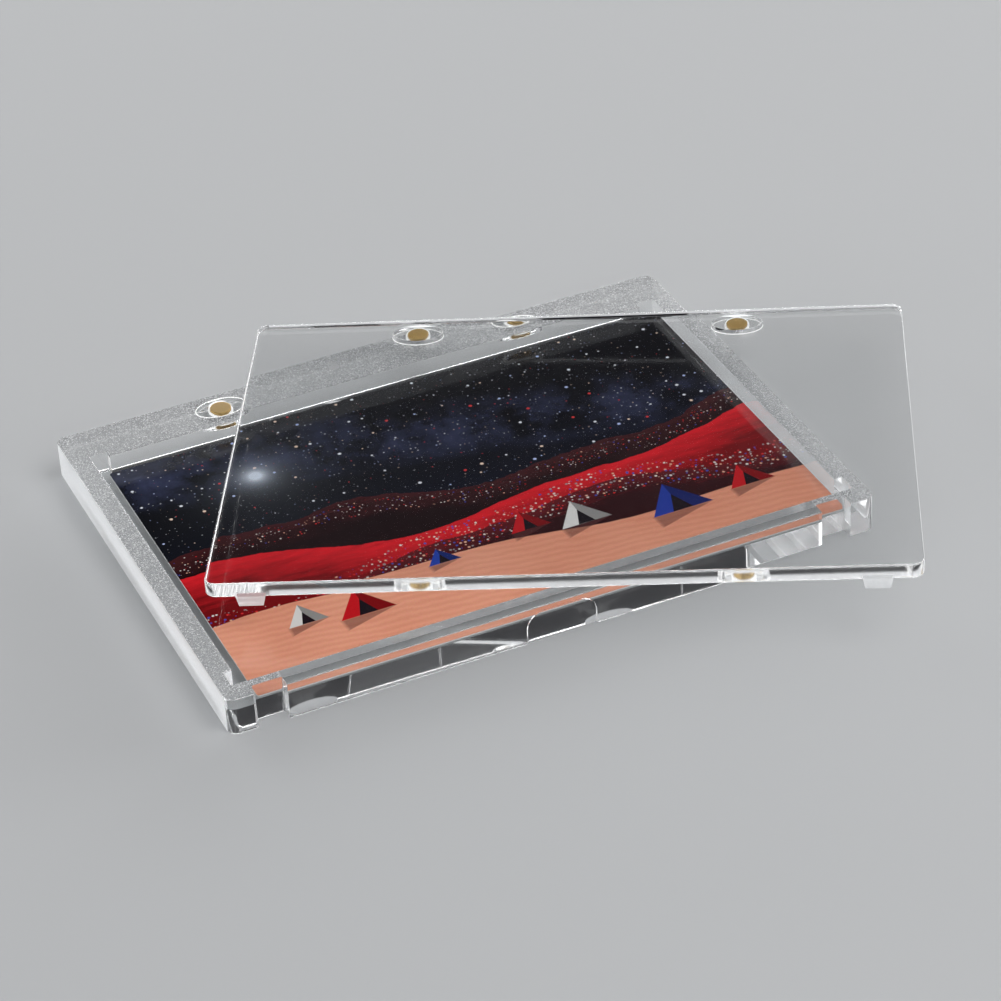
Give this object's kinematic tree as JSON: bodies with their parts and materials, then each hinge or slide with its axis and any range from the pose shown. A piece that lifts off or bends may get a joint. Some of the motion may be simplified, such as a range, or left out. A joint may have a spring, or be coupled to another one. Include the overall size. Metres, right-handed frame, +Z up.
{
  "type": "magnetic card display case",
  "caption": "Clear tray with a shallow recess for a flat printed card, and a loose flat lid that small gold-coloured magnets hold shut.",
  "frame": {"origin": "middle of the tray's underside, on the surface that it lies on", "axes": "+Z up out of the recess, +X to the right along the tray's front edge, +Y to the rear rim that holds the magnets"},
  "size_m": [0.2115, 0.1829, 0.0209],
  "materials": {
    "clear_plastic": "clear moulded acrylic, polished faces with a finely frosted rim",
    "clear_plug": "clear polished acrylic",
    "gold_plate": "satin gold plating on a small disc magnet",
    "printed_card": null
  },
  "bodies": {
    "tray": {"base_tray": "clear_plastic", "base_magnet_plug_left": "clear_plug", "base_magnet_plug_right": "clear_plug", "base_magnet_left": "gold_plate", "base_magnet_right": "gold_plate"},
    "lid": {"lid_plate": "clear_plastic", "lid_magnet_plug_left": "clear_plug", "lid_magnet_plug_right": "clear_plug", "lid_magnet_left": "gold_plate", "lid_magnet_right": "gold_plate"},
    "card": {"picture_card": "printed_card"}
  },
  "joints": [
    {"name": "lid_lift", "type": "slide", "parent": "tray", "child": "lid", "axis": [0, 0, 1], "range_m": [0, 0.08]},
    {"name": "card_lift", "type": "slide", "parent": "tray", "child": "card", "axis": [0, 0, 1], "range_m": [0, 0.032]}
  ],
  "couplings": [
    {"joint": "card_lift", "follows": "lid_lift", "ratio": 0.4}
  ]
}
